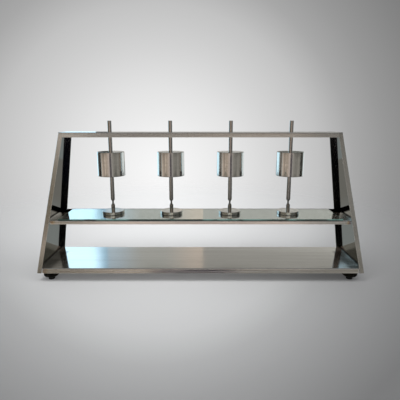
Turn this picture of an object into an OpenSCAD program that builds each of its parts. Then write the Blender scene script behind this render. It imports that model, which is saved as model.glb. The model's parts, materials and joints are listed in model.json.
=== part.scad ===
// Stand for parting oil from grease under load. Four round plungers of about one
// kilogram hang through a narrow top beam and press on a glass plate on the shelf.
// Lengths are in millimetres: X runs along the stand, Y to the back, Z up from the bench.

/* [Frame] */
// Outer width across the side panels at their lower edge
base_w = 640; // [600:5:720]
// Outer width across the side panels at the top
top_w = 546; // [520:2:590]
// Height of the frame from its lower edge to the top of the beam
frame_h = 270; // [255:5:320]
// Depth of the side panels at their lower edge
base_d = 136; // [120:2:180]
// Depth of the side panels and the beam at the top
top_d = 54; // [40:2:80]
// Thickness of the sheet steel
sheet_t = 1.5; // [1:0.25:2]
// Width of the folded edges of the side panels
flange_w = 9; // [7:0.5:13]
// Outer radius of the folds
fold_r = 2; // [1:0.25:3]
// Height of the beam's folded lips
beam_lip = 9.5; // [7:0.5:14]

/* [Base and shelf] */
// Height of the base plate above the frame's lower edge
base_top_h = 9.5; // [8:0.5:14]
// Height of the shelf's top face above the frame's lower edge
shelf_h = 102; // [80:2:120]
// Height of the shelf's folded lips
shelf_lip = 7; // [5:0.5:12]
// Gap between the end of a lip and the side panel's folded edge
lip_gap = 1.5; // [0.5:0.25:3]
// Radius of the corners of the lips
lip_corner_r = 2; // [1:0.25:3]

/* [Glass] */
// Length of the glass plate
glass_w = 552; // [460:4:560]
// Depth of the glass plate
glass_d = 94; // [60:2:100]
// Thickness of the glass plate
glass_t = 3; // [2:0.5:5]
// How far the glass stands out past the shelf's front edge
glass_overhang = 1; // [0:0.5:3]

/* [Plungers] */
// Distance from rod to rod
plunger_pitch = 120; // [80:5:130]
// Diameter of a rod
rod_d = 8; // [6:0.5:10]
// How far a resting rod stands above the beam
rod_rise = 22; // [10:1:40]
// Diameter of a weight
weight_d = 54; // [36:1:70]
// Height of a weight
weight_h = 48; // [30:1:60]
// Distance from the beam's top face down to a resting weight
weight_drop = 39; // [32:1:50]
// Diameter of a foot disc
disc_d = 45; // [30:1:60]
// Thickness of a foot disc
disc_t = 6; // [4:0.5:10]
// Diameter of the neck turned at a rod's lower end
neck_d = 3; // [2:0.25:3.5]
// Length of the neck that shows above the socket
neck_h = 5.5; // [3:0.5:10]
// Diameter of the ball at the end of the neck
ball_d = 5; // [4:0.25:5.5]
// Diameter of the socket that holds the ball
socket_d = 7.6; // [7:0.1:9]
// Height of the socket's straight part
socket_h = 9; // [7:0.5:12]

/* [Levelling feet] */
// Height of the frame's lower edge above the bench with the feet screwed in
foot_h = 18; // [17:0.5:26]
// Distance from the side panel's lower edge to a foot's axis
foot_inset_x = 22; // [19:0.5:60]
// Distance from the frame's lower front edge to a foot's axis
foot_inset_y = 18; // [17:0.5:40]
// Diameter of a levelling knob
knob_d = 29; // [22:0.5:30]
// Diameter of a levelling stud
stud_d = 8; // [6:0.5:9]
// Diameter of a rubber pad
pad_d = 12; // [10:0.5:16]
// Height of a rubber pad
pad_h = 4; // [3.5:0.5:6]

/* [Fits] */
// Radial clearance of a running or sliding fit
run_gap = 0.05; // [0.02:0.01:0.1]

/* [Hidden] */
$fn = 48;

// One overrun for every cut
cut = 1;

// Slopes of the frame: the panels lean in, and their front and rear edges draw together
lean = atan((base_w - top_w) / 2 / frame_h);
slope = atan((base_d - top_d) / 2 / frame_h);
panel_t_x = sheet_t / cos(lean);
lip_t_y = sheet_t / cos(slope);

// Length of a panel's sloping fold, and how far it tips to the back
edge_run = norm([frame_h, (base_w - top_w) / 2, (base_d - top_d) / 2]);
edge_pitch = asin((base_d - top_d) / 2 / edge_run);

// Half width and half depth of the frame at height h over its lower edge
function half_w(h) = base_w / 2 - h * tan(lean);
function half_d(h) = base_d / 2 - h * tan(slope);

// Where the side panel's inner face and the end of its folded edge lie at height h
function inner_x(h) = half_w(h) - panel_t_x;
function flange_x(h) = half_w(h) - flange_w;

// Lengths that reach past the whole frame along X and along Y
span_x = max(base_w, top_w) + 2 * cut;
span_y = max(base_d, top_d) + 2 * cut;

// How far the mitre has run in from the frame's top corner, at a depth below it
function mitre_run(depth) = depth * (half_w(frame_h) - flange_x(frame_h - beam_lip)) / beam_lip;

// Places of the four plungers and the four feet
plunger_x = [for (i = [-1.5 : 1.5]) i * plunger_pitch];
foot_x = base_w / 2 - foot_inset_x;
foot_y = base_d / 2 - foot_inset_y;
foot_places = [[-foot_x, -foot_y], [foot_x, -foot_y], [-foot_x, foot_y], [foot_x, foot_y]];

// Small gap between a plate's end and the folded edge that it passes behind
notch_gap = 0.5;

// Guide bush, pressed into the beam from below, with a flange under the plate
bush_wall = 2;
bush_d = rod_d + 2 * (run_gap + bush_wall);
bush_flange_w = 3;
bush_flange_t = 1.5;
bush_below = 8;

// Heights of a resting plunger, over the frame's lower edge
glass_top_h = shelf_h + glass_t;
disc_top_h = glass_top_h + disc_t;
socket_cone_h = 4.8;
socket_wall_top = 0.5;
neck_mouth_gap = 0.45;
rod_taper_h = 3;
neck_top_h = disc_top_h + socket_h + socket_cone_h + neck_h;
rod_low_h = neck_top_h + rod_taper_h;
rod_top_h = frame_h + rod_rise;
ball_depth = 1;
ball_h = disc_top_h + socket_h - ball_depth - ball_d / 2;
spigot_d = 5;
spigot_h = disc_t / 2;
turned_edge = 0.6;
weight_edge = 0.8;

// Grub screw that holds a weight on its rod, at the back
grub_d = 5;
grub_recess = 3;
grub_key_d = 2.9;
grub_key_h = 2.5;

// Levelling foot, from the bench up
stud_shoulder = 1;
stud_tip_d = stud_d - 2 * stud_shoulder;
stud_low_h = 1.5;
stud_stop_gap = 0.05;
stud_top_h = foot_h + base_top_h - sheet_t - stud_stop_gap;
knob_low_gap = 0.5;
knob_cone_h = 4.5;
knob_low_d = 16;
knob_bevel = 1;
knob_clear = 2.5;
knob_flutes = 10;
flute_d = 6;
flute_depth = 1.4;
nut_across = 15;
nut_raise = 0.5;
pad_edge = 0.5;

// Extrudes a shape drawn in Y and Z along X, centred
module along_x(length) {
    translate([-length / 2, 0, 0]) rotate([90, 0, 90]) linear_extrude(length) children();
}

// Extrudes a shape drawn in X and Z along Y, centred
module along_y(length) {
    rotate([90, 0, 0]) linear_extrude(length, center = true) children();
}

// The waste outside a rounded corner at the origin. The solid lies between the X axis
// and a line at the angle given.
module corner_waste(angle, r) {
    run = r / tan(angle / 2);
    reach = cut / sin(angle / 2);
    difference() {
        polygon([
            [run, -cut],
            [run, r],
            [run * cos(angle) - cut * sin(angle), run * sin(angle) + cut * cos(angle)],
            [-reach * cos(angle / 2), -reach * sin(angle / 2)]
        ]);
        translate([run, r]) circle(r = r);
    }
}

// Section of a folded channel in Y and Z: a plate at height h with a lip front and back
module channel_section(h, lip) {
    difference() {
        polygon([
            [-half_d(h), h],
            [half_d(h), h],
            [half_d(h - lip), h - lip],
            [-half_d(h - lip), h - lip]
        ]);
        polygon([
            [lip_t_y - half_d(h - sheet_t), h - sheet_t],
            [half_d(h - sheet_t) - lip_t_y, h - sheet_t],
            [half_d(h - lip - cut) - lip_t_y, h - lip - cut],
            [lip_t_y - half_d(h - lip - cut), h - lip - cut]
        ]);
        for (side = [0, 1]) {
            mirror([side, 0]) translate([-half_d(h), h]) mirror([0, 1]) corner_waste(90 + slope, fold_r);
        }
    }
}

// Front outline of a tray's lips: it stops short of the folded edges, with round corners
module lip_outline(h, lip) {
    low = h - lip;
    difference() {
        polygon([
            [-flange_x(h + cut) + lip_gap, h + cut],
            [flange_x(h + cut) - lip_gap, h + cut],
            [flange_x(low) - lip_gap, low],
            [-flange_x(low) + lip_gap, low]
        ]);
        for (side = [0, 1]) {
            mirror([side, 0]) translate([lip_gap - flange_x(low), low]) corner_waste(90 - lean, lip_corner_r);
        }
    }
}

// Section in X and Z of a plate that ends in tabs folded down along the leaning panels
module tab_section(h, lip) {
    difference() {
        polygon([
            [-inner_x(h), h],
            [inner_x(h), h],
            [inner_x(h - lip), h - lip],
            [-inner_x(h - lip), h - lip]
        ]);
        polygon([
            [panel_t_x - inner_x(h - sheet_t), h - sheet_t],
            [inner_x(h - sheet_t) - panel_t_x, h - sheet_t],
            [inner_x(h - lip - cut) - panel_t_x, h - lip - cut],
            [panel_t_x - inner_x(h - lip - cut), h - lip - cut]
        ]);
        for (side = [0, 1]) {
            mirror([side, 0]) translate([-inner_x(h), h]) mirror([0, 1]) corner_waste(90 + lean, fold_r);
        }
    }
}

// A tray: a plate with a lip front and back and a tab at each end
module tray(h, lip) {
    end_d = 2 * (half_d(h) - lip_t_y - notch_gap);
    intersection() {
        along_x(span_x) channel_section(h, lip);
        along_y(span_y) lip_outline(h, lip);
    }
    along_y(end_d) tab_section(h, lip);
}

// The base plate
module base_tray() {
    color("silver") translate([0, 0, foot_h]) tray(base_top_h, base_top_h);
}

// The shelf that carries the glass
module shelf_tray() {
    color("silver") translate([0, 0, foot_h]) tray(shelf_h, shelf_lip);
}

// Front view of the frame's right folded edge, mitred to the beam's lip at the top
module flange_outline() {
    polygon([
        [half_w(0), 0],
        [flange_x(0), 0],
        [flange_x(frame_h - beam_lip), frame_h - beam_lip],
        [half_w(frame_h), frame_h],
        [half_w(frame_h) + cut, frame_h],
        [half_w(0) + cut, 0]
    ]);
}

// Section in Y and Z of the shell that holds the sloping front and rear edges
module edge_section() {
    for (side = [0, 1]) {
        mirror([side, 0]) polygon([
            [half_d(0), 0],
            [half_d(frame_h), frame_h],
            [half_d(frame_h) - lip_t_y, frame_h],
            [half_d(0) - lip_t_y, 0]
        ]);
    }
}

// Outline of the frame seen from the front
module frame_outline() {
    polygon([
        [-half_w(0), 0],
        [half_w(0), 0],
        [half_w(frame_h), frame_h],
        [-half_w(frame_h), frame_h]
    ]);
}

// Outline of the frame seen from the side
module side_outline() {
    polygon([
        [-half_d(0), 0],
        [half_d(0), 0],
        [half_d(frame_h), frame_h],
        [-half_d(frame_h), frame_h]
    ]);
}

// The waste outside the rounded fold that runs up the right panel's front edge
module panel_fold_waste() {
    translate([half_w(0), -half_d(0), 0])
        rotate([-edge_pitch, -lean, 0])
        translate([0, 0, -cut])
        linear_extrude(edge_run + 2 * cut)
        mirror([1, 0]) corner_waste(90, fold_r);
}

// The right side panel. Its top edge carries the beam's plate.
module side_panel() {
    difference() {
        union() {
            intersection() {
                along_x(span_x) side_outline();
                along_y(span_y) polygon([
                    [half_w(0), 0],
                    [half_w(frame_h - sheet_t), frame_h - sheet_t],
                    [inner_x(frame_h - sheet_t), frame_h - sheet_t],
                    [inner_x(0), 0]
                ]);
            }
            intersection() {
                along_x(span_x) edge_section();
                along_y(span_y) flange_outline();
                along_y(span_y) frame_outline();
            }
        }
        for (side = [0, 1]) mirror([0, side, 0]) panel_fold_waste();
    }
}

module side_panel_right() {
    color("silver") translate([0, 0, foot_h]) side_panel();
}

module side_panel_left() {
    color("silver") translate([0, 0, foot_h]) mirror([1, 0, 0]) side_panel();
}

// Front view of the beam: a full plate, and lips mitred to the panels' folded edges
module beam_outline() {
    low = frame_h - beam_lip;
    polygon([
        [-half_w(frame_h), frame_h],
        [half_w(frame_h), frame_h],
        [half_w(frame_h - sheet_t), frame_h - sheet_t],
        [half_w(frame_h) - mitre_run(sheet_t), frame_h - sheet_t],
        [flange_x(low), low],
        [-flange_x(low), low],
        [mitre_run(sheet_t) - half_w(frame_h), frame_h - sheet_t],
        [-half_w(frame_h - sheet_t), frame_h - sheet_t]
    ]);
}

// The beam, with a hole for each guide bush
module top_beam() {
    color("silver") translate([0, 0, foot_h]) difference() {
        intersection() {
            along_x(span_x) channel_section(frame_h, beam_lip);
            along_y(span_y) beam_outline();
        }
        for (x = plunger_x) {
            translate([x, 0, frame_h - sheet_t - cut])
                cylinder(d = bush_d + 2 * run_gap, h = sheet_t + 2 * cut);
        }
    }
}

// The loose glass plate
module glass_plate() {
    color("lightcyan", 0.4)
        translate([-glass_w / 2, -half_d(shelf_h) - glass_overhang, foot_h + shelf_h])
        cube([glass_w, glass_d, glass_t]);
}

// A bush with a flange under the beam's plate
module guide_bush(i) {
    color("goldenrod") translate([plunger_x[i - 1], 0, foot_h + frame_h]) difference() {
        union() {
            translate([0, 0, -sheet_t - bush_below]) cylinder(d = bush_d, h = sheet_t + bush_below);
            translate([0, 0, -sheet_t - bush_flange_t])
                cylinder(d = bush_d + 2 * bush_flange_w, h = bush_flange_t);
        }
        translate([0, 0, -sheet_t - bush_below - cut])
            cylinder(d = rod_d + 2 * run_gap, h = sheet_t + bush_below + 2 * cut);
    }
}

// A ground rod whose lower end is turned down to a neck and a ball
module rod(i) {
    color("silver") translate([plunger_x[i - 1], 0, foot_h]) {
        translate([0, 0, rod_low_h]) cylinder(d = rod_d, h = rod_top_h - rod_low_h - turned_edge);
        translate([0, 0, rod_top_h - turned_edge])
            cylinder(d1 = rod_d, d2 = rod_d - 2 * turned_edge, h = turned_edge);
        translate([0, 0, neck_top_h]) cylinder(d1 = neck_d, d2 = rod_d, h = rod_taper_h);
        translate([0, 0, ball_h]) cylinder(d = neck_d, h = neck_top_h - ball_h);
        translate([0, 0, ball_h]) sphere(d = ball_d);
    }
}

// A round blank turned from bar, with both of its edges broken
module turned_blank(d, h, edge) {
    rotate_extrude() polygon([
        [0, 0],
        [d / 2 - edge, 0],
        [d / 2, edge],
        [d / 2, h - edge],
        [d / 2 - edge, h],
        [0, h]
    ]);
}

// A turned weight with a bore for the rod and a tapped hole for its grub screw
module weight(i) {
    low = frame_h - weight_drop - weight_h;
    color("silver") translate([plunger_x[i - 1], 0, foot_h + low]) difference() {
        turned_blank(weight_d, weight_h, weight_edge);
        translate([0, 0, -cut]) cylinder(d = rod_d + 2 * run_gap, h = weight_h + 2 * cut);
        translate([0, 0, weight_h / 2])
            rotate([-90, 0, 0])
            cylinder(d = grub_d + 2 * run_gap, h = weight_d / 2 + cut);
    }
}

// A grub screw with a hexagon socket, sunk in the weight and tight against the rod
module weight_screw(i) {
    start = rod_d / 2 + run_gap;
    length = weight_d / 2 - start - grub_recess;
    color("dimgray")
        translate([plunger_x[i - 1], start, foot_h + frame_h - weight_drop - weight_h / 2])
        rotate([-90, 0, 0]) difference() {
            cylinder(d = grub_d, h = length);
            translate([0, 0, length - grub_key_h]) cylinder(d = grub_key_d, h = grub_key_h + cut, $fn = 6);
        }
}

// A flat turned disc with a blind hole for the socket's spigot
module foot_disc(i) {
    color("silver") translate([plunger_x[i - 1], 0, foot_h + glass_top_h]) difference() {
        turned_blank(disc_d, disc_t, turned_edge);
        translate([0, 0, disc_t - spigot_h]) cylinder(d = spigot_d + 2 * run_gap, h = spigot_h + cut);
    }
}

// A socket pressed into the disc, closed round the rod's ball
module ball_socket(i) {
    mouth_d = neck_d + 2 * neck_mouth_gap;
    color("silver") translate([plunger_x[i - 1], 0, foot_h]) difference() {
        union() {
            translate([0, 0, disc_top_h - spigot_h]) cylinder(d = spigot_d, h = spigot_h + cut);
            translate([0, 0, disc_top_h]) cylinder(d = socket_d, h = socket_h);
            translate([0, 0, disc_top_h + socket_h])
                cylinder(d1 = socket_d, d2 = mouth_d + 2 * socket_wall_top, h = socket_cone_h);
        }
        translate([0, 0, ball_h]) sphere(d = ball_d + 2 * run_gap);
        translate([0, 0, ball_h]) cylinder(d = mouth_d, h = neck_top_h - ball_h);
    }
}

// Weld nuts under the base plate, one over each foot
module foot_nuts() {
    nut_h = base_top_h - sheet_t - nut_raise;
    color("gray") for (p = foot_places) {
        translate([p[0], p[1], foot_h + nut_raise]) difference() {
            cylinder(d = nut_across, h = nut_h, $fn = 6);
            translate([0, 0, -cut]) cylinder(d = stud_d + 2 * run_gap, h = nut_h + 2 * cut);
        }
    }
}

// A stud that carries the knob and stands in the pad
module level_stud(i) {
    color("gray") translate(foot_places[i - 1]) {
        translate([0, 0, stud_low_h]) cylinder(d = stud_tip_d, h = pad_h - stud_low_h);
        translate([0, 0, pad_h]) cylinder(d = stud_d, h = stud_top_h - pad_h);
    }
}

// A moulded knob: a fluted rim over a cone
module level_knob(i) {
    low = pad_h + knob_low_gap;
    rim_low = low + knob_cone_h;
    top = foot_h - knob_clear;
    color([0.12, 0.12, 0.12]) translate(foot_places[i - 1]) difference() {
        union() {
            translate([0, 0, low]) cylinder(d1 = knob_low_d, d2 = knob_d, h = knob_cone_h);
            translate([0, 0, rim_low]) cylinder(d = knob_d, h = top - knob_bevel - rim_low);
            translate([0, 0, top - knob_bevel])
                cylinder(d1 = knob_d, d2 = knob_d - 2 * knob_bevel, h = knob_bevel);
        }
        translate([0, 0, low - cut]) cylinder(d = stud_d + 2 * run_gap, h = top - low + 2 * cut);
        for (n = [0 : knob_flutes - 1]) {
            rotate(n * 360 / knob_flutes)
                translate([(knob_d + flute_d) / 2 - flute_depth, 0, low - cut])
                cylinder(d = flute_d, h = top - low + 2 * cut, $fn = 24);
        }
    }
}

// A rubber pad with a blind hole for the stud's tip
module level_pad(i) {
    color([0.1, 0.1, 0.1]) translate(foot_places[i - 1]) difference() {
        union() {
            cylinder(d = pad_d, h = pad_h - pad_edge);
            translate([0, 0, pad_h - pad_edge]) cylinder(d1 = pad_d, d2 = pad_d - 2 * pad_edge, h = pad_edge);
        }
        translate([0, 0, stud_low_h]) cylinder(d = stud_tip_d + 2 * run_gap, h = pad_h);
    }
}

base_tray();
shelf_tray();
side_panel_left();
side_panel_right();
top_beam();
glass_plate();
foot_nuts();
guide_bush(1);  // guide_bush_1
guide_bush(2);  // guide_bush_2
guide_bush(3);  // guide_bush_3
guide_bush(4);  // guide_bush_4
rod(1);  // rod_1
rod(2);  // rod_2
rod(3);  // rod_3
rod(4);  // rod_4
weight(1);  // weight_1
weight(2);  // weight_2
weight(3);  // weight_3
weight(4);  // weight_4
weight_screw(1);  // weight_screw_1
weight_screw(2);  // weight_screw_2
weight_screw(3);  // weight_screw_3
weight_screw(4);  // weight_screw_4
foot_disc(1);  // foot_disc_1
foot_disc(2);  // foot_disc_2
foot_disc(3);  // foot_disc_3
foot_disc(4);  // foot_disc_4
ball_socket(1);  // ball_socket_1
ball_socket(2);  // ball_socket_2
ball_socket(3);  // ball_socket_3
ball_socket(4);  // ball_socket_4
level_stud(1);  // level_stud_1
level_stud(2);  // level_stud_2
level_stud(3);  // level_stud_3
level_stud(4);  // level_stud_4
level_knob(1);  // level_knob_1
level_knob(2);  // level_knob_2
level_knob(3);  // level_knob_3
level_knob(4);  // level_knob_4
level_pad(1);  // level_pad_1
level_pad(2);  // level_pad_2
level_pad(3);  // level_pad_3
level_pad(4);  // level_pad_4
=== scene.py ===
# %% [markdown]
# # A stand for parting oil from grease under load
# The real object is a laboratory stand folded from bright stainless sheet. Four round plungers of about
# one kilogram hang through a narrow top beam and press on a glass plate. This notebook dresses its CAD model
# for a studio picture: it keeps the folded sheets, models the turned and moulded pieces again with
# rounder edges, and gives every piece a finish made of nodes.

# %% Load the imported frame
import json
import math

import bmesh
import bpy
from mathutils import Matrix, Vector

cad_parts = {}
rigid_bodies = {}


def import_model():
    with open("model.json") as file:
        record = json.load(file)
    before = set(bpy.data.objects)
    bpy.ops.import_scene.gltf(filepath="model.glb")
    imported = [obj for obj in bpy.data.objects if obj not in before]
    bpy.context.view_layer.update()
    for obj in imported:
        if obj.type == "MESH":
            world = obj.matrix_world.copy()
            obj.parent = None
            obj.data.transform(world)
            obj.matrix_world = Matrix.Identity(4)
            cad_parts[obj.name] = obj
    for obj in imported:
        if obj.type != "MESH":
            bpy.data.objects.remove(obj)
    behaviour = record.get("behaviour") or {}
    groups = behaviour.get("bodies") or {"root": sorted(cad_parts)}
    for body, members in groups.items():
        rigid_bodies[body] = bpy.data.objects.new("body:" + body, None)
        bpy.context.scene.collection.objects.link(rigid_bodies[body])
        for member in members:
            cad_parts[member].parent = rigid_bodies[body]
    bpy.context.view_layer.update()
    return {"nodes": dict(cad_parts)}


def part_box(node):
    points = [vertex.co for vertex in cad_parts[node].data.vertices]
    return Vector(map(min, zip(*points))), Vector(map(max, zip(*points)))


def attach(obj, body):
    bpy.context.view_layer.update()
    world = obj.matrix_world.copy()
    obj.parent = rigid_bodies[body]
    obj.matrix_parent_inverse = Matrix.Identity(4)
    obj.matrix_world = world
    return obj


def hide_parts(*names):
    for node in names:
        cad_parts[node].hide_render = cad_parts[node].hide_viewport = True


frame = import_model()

# %% [markdown]
# ## Sizes that several steps share
# The CAD model is the authority on size. The values here repeat the ones that the new pieces need, in metres.
# The panels lean in and their folded edges draw together, so two slopes describe the whole frame.

# %% Shared sizes
MM = 0.001
plunger_at = [(-0.18, 0.0), (-0.06, 0.0), (0.06, 0.0), (0.18, 0.0)]
foot_at = [(-0.298, -0.05), (0.298, -0.05), (-0.298, 0.05), (0.298, 0.05)]
frame_low = 0.018
lean, slope = math.radians(9.875), math.radians(8.634)
print("panels lean", round(math.degrees(lean), 2), "degrees")
print("and draw together by", round(math.degrees(slope), 2), "degrees")

# %% [markdown]
# ## The camera
# The stand is seen from the front, a little from above, with a normal lens about 0.8 m away. The lens and the
# place were worked out from the frame's corners, so the picture's lines fall where the real ones do.

# %% Camera
looks_down = 11.62
lens = bpy.data.cameras.new("camera")
lens.lens, lens.sensor_width, lens.shift_x = 35.19, 36.0, -0.0014
camera = bpy.data.objects.new("camera", lens)
camera.location = (0.0, -0.7867, 0.3120)
camera.rotation_euler = (math.radians(90 - looks_down), 0.0, 0.0)
bpy.context.collection.objects.link(camera)
bpy.context.scene.camera = camera
bpy.context.scene.view_settings.view_transform = "Standard"
print("camera looks down by", looks_down, "degrees")

# %% [markdown]
# ## Small helpers for modelling
# Each operator works on what is selected, and loading the frame leaves its nodes selected. So every step
# starts with nothing selected, and what it needs is then picked by its place.

# %% Helpers for selecting
def deselect():
    if bpy.context.object and bpy.context.object.mode != "OBJECT":
        bpy.ops.object.mode_set(mode="OBJECT")
    bpy.ops.object.select_all(action="DESELECT")


def work_on(piece):
    deselect()
    piece.select_set(True)
    bpy.context.view_layer.objects.active = piece


def pick(piece, kind, test):
    """Selects in edit mode the vertices or edges that pass the test."""
    bpy.ops.mesh.select_mode(type=kind)
    bpy.ops.mesh.select_all(action="DESELECT")
    mesh = bmesh.from_edit_mesh(piece.data)
    for part in (mesh.verts if kind == "VERT" else mesh.edges):
        if test(part):
            part.select_set(True)
    mesh.select_flush_mode()
    bmesh.update_edit_mesh(piece.data)


print("selected at first:", len(bpy.context.selected_objects))
deselect()
print("selected now:", len(bpy.context.selected_objects))

# %% Helpers for finishing a piece
def settle(piece, angle=35.0):
    """Puts the piece's place into its mesh and smooths all but its sharp edges. Large faces stay flat."""
    work_on(piece)
    bpy.ops.object.transform_apply(location=True, rotation=True, scale=True)
    bpy.ops.object.shade_smooth_by_angle(angle=math.radians(angle))
    even = piece.modifiers.new("even shading", "WEIGHTED_NORMAL")
    even.keep_sharp, even.weight = True, 100
    bpy.ops.object.modifier_apply(modifier=even.name)
    return piece


def body_check(piece):
    """Whether every edge has two faces, and the volume in cubic millimetres."""
    mesh = bmesh.new()
    mesh.from_mesh(piece.data)
    whole = all(len(e.link_faces) == 2 for e in mesh.edges)
    volume = mesh.calc_volume(signed=True)
    mesh.free()
    return whole, round(volume / MM ** 3, 1)


print("volume of the CAD model's first weight in mm3:", body_check(frame["nodes"]["weight_1"])[1])

# %% [markdown]
# ## The glass plate
# A real plate is cut from 3 mm float glass and its edges are ground to a small flat, the arris, so that they
# don't cut a hand. A box is added at the plate's size and all its edges are bevelled by less than half a
# millimetre. Its underside stands a hair above the shelf, because two faces in one place would flicker.

# %% Glass plate
hair, arris = 0.1 * MM, 0.35 * MM
low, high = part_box("glass_plate")
deselect()
bpy.ops.mesh.primitive_cube_add(size=1.0, location=(low + high) / 2 + Vector((0, 0, hair)))
glass = bpy.context.object
glass.name = glass.data.name = "float_glass"
bpy.ops.object.mode_set(mode="EDIT")
bpy.ops.mesh.select_all(action="SELECT")
bpy.ops.transform.resize(value=high - low - Vector((0, 0, 2 * hair)))
bpy.ops.mesh.bevel(offset=arris, segments=2, profile=0.5, affect="EDGES")
bpy.ops.object.mode_set(mode="OBJECT")
settle(glass, 20)
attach(glass, "frame")
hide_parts("glass_plate")
print("glass closed, and mm3:", body_check(glass))

# %% [markdown]
# ## The turned weights
# A weight is a stainless blank, 54 mm across and 48 mm high, turned and polished. On a lathe every face is a
# circle round one axis, so half of the section is drawn and spun. Both outer edges are broken by a small
# curve, which catches the thin bright line that tells of metal. The hole for the grub screw at the back is
# then cut with a boolean. Two extra rings round the blank keep the cut away from the long faces.

# %% Helpers for outlines
def round_corner(before, corner, after, radius, steps=4):
    """Points on a curve that rounds one corner of an outline."""
    a, b, c = Vector(before), Vector(corner), Vector(after)
    start, end = b + (a - b).normalized() * radius, b + (c - b).normalized() * radius
    curve = []
    for i in range(steps + 1):
        t = i / steps
        curve.append(tuple(start * (1 - t) ** 2 + b * 2 * t * (1 - t) + end * t ** 2))
    return curve


def outline_of(*points):
    """An outline of (radius, height) points. A third number rounds that corner."""
    made = []
    for i, p in enumerate(points):
        if len(p) == 2:
            made.append(p)
        else:
            made += round_corner(points[i - 1][:2], p[:2], points[(i + 1) % len(points)][:2], p[2])
    return made


print("points on a square with one round corner:", len(outline_of((0, 0), (1, 0), (1, 1, 0.1), (0, 1))))

# %% The lathe
def turn_piece(name, x, y, points, closed=False, steps=48):
    """Draws half a section as a chain of extruded points and spins it round its axis, as a lathe would."""
    deselect()
    bpy.ops.mesh.primitive_plane_add(size=MM)
    piece = bpy.context.object
    piece.name = piece.data.name = name
    bpy.ops.object.mode_set(mode="EDIT")
    bpy.ops.mesh.select_mode(type="VERT")
    bpy.ops.mesh.select_all(action="SELECT")
    bpy.ops.mesh.merge(type="CENTER")
    bpy.ops.transform.translate(value=(x + points[0][0], y, points[0][1]))
    last = points[0]
    for point in points[1:] + ([points[0]] if closed else []):
        step = (point[0] - last[0], 0.0, point[1] - last[1])
        bpy.ops.mesh.extrude_region_move(TRANSFORM_OT_translate={"value": step})
        last = point
    bpy.ops.mesh.select_all(action="SELECT")
    bpy.ops.mesh.spin(steps=steps, angle=2 * math.pi, center=(x, y, 0.0), axis=(0.0, 0.0, 1.0))
    bpy.ops.mesh.select_all(action="SELECT")
    bpy.ops.mesh.remove_doubles(threshold=0.002 * MM)
    bpy.ops.mesh.normals_make_consistent(inside=False)
    bpy.ops.object.mode_set(mode="OBJECT")
    return settle(piece)


def repeat(piece, name, shift):
    """Copies a finished piece, with a mesh of its own, to another place."""
    work_on(piece)
    bpy.ops.object.duplicate(linked=False)
    made = bpy.context.object
    made.name = made.data.name = name
    bpy.ops.transform.translate(value=shift)
    bpy.ops.object.transform_apply(location=True, rotation=True, scale=True)
    return made


def one_each(first, name, places):
    """The finished piece, which stands at the first place, then a copy at each of the others, with numbers.

    Each copy is made in its turn, and takes over what the first piece says by then. A list makes all copies
    before that.
    """
    yield 1, first
    for i, (x, y) in enumerate(places[1:], 2):
        yield i, repeat(first, f"{name}_{i}", (x - places[0][0], y - places[0][1], 0))


print("copies go to", len(plunger_at), "plungers and", len(foot_at), "feet")

# %% Weights
weight_low, weight_high, weight_r, bore_r = 0.201, 0.249, 0.027, 0.00405
outer_round, bore_break = 0.9 * MM, 0.3 * MM
grub_height, grub_r, ring_gap = 0.225, 2.55 * MM, 4.5 * MM
weight_outline = outline_of(
    (bore_r, weight_low + bore_break),
    (bore_r + bore_break, weight_low),
    (weight_r, weight_low, outer_round),
    (weight_r, grub_height - ring_gap),
    (weight_r, grub_height + ring_gap),
    (weight_r, weight_high, outer_round),
    (bore_r + bore_break, weight_high),
    (bore_r, weight_high - bore_break),
)
first = turn_piece("turned_weight_1", *plunger_at[0], weight_outline, closed=True, steps=96)
deselect()
bpy.ops.mesh.primitive_cylinder_add(vertices=32, radius=grub_r, depth=0.03,
                                    location=(plunger_at[0][0], 0.015, grub_height),
                                    rotation=(math.radians(90), 0, 0))
cutter = bpy.context.object
work_on(first)
cut = first.modifiers.new("grub hole", "BOOLEAN")
cut.operation, cut.solver, cut.object = "DIFFERENCE", "EXACT", cutter
bpy.ops.object.modifier_apply(modifier=cut.name)
bpy.data.objects.remove(cutter)
settle(first)
for i, piece in list(one_each(first, "turned_weight", plunger_at)):
    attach(piece, f"plunger_{i}")
    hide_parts(f"weight_{i}")
print("weight closed, and mm3:", body_check(first))

# %% [markdown]
# ## The rods
# Each rod is ground bar, 8 mm across. Its lower end is turned down to a thin neck and a small ball, on which
# the foot disc can swivel. One outline holds all of it: ball, neck, shoulder, shaft and rounded top.

# %% Rods
def ball_outline(radius, middle_height, swing, steps=8):
    """Points on a ball, from its lowest point up round its side by so many degrees."""
    points = [(0.0, middle_height - radius)]
    for i in range(1, steps + 1):
        angle = math.radians(-90 + i * swing / steps)
        points.append((radius * math.cos(angle), middle_height + radius * math.sin(angle)))
    return points


ball_z, ball_r, neck_r, rod_r = 0.1345, 2.5 * MM, 1.8 * MM, 4.0 * MM
neck_top, shaft_low, rod_top = 0.1485, 0.1513, 0.3100
rod_outline = ball_outline(ball_r, ball_z, 134) + outline_of(
    (neck_r, ball_z + 2.3 * MM),
    (neck_r, neck_top, 0.4 * MM),
    (rod_r, shaft_low, 0.8 * MM),
    (rod_r, weight_low),
    (rod_r, weight_high),
    (rod_r, rod_top, 0.7 * MM),
    (0.0, rod_top),
)
first = turn_piece("ground_rod_1", *plunger_at[0], rod_outline)
for i, piece in list(one_each(first, "ground_rod", plunger_at)):
    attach(piece, f"plunger_{i}")
    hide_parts(f"rod_{i}")
print("rod closed, and mm3:", body_check(first))

# %% [markdown]
# ## Foot discs and ball sockets
# The disc presses the sample and is faced flat underneath. The socket is a small collar pressed into it and
# closed over the ball, so its top narrows to the neck. Both are outlines spun round the plunger's axis, and
# both keep the hollows that the CAD model has.

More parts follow.
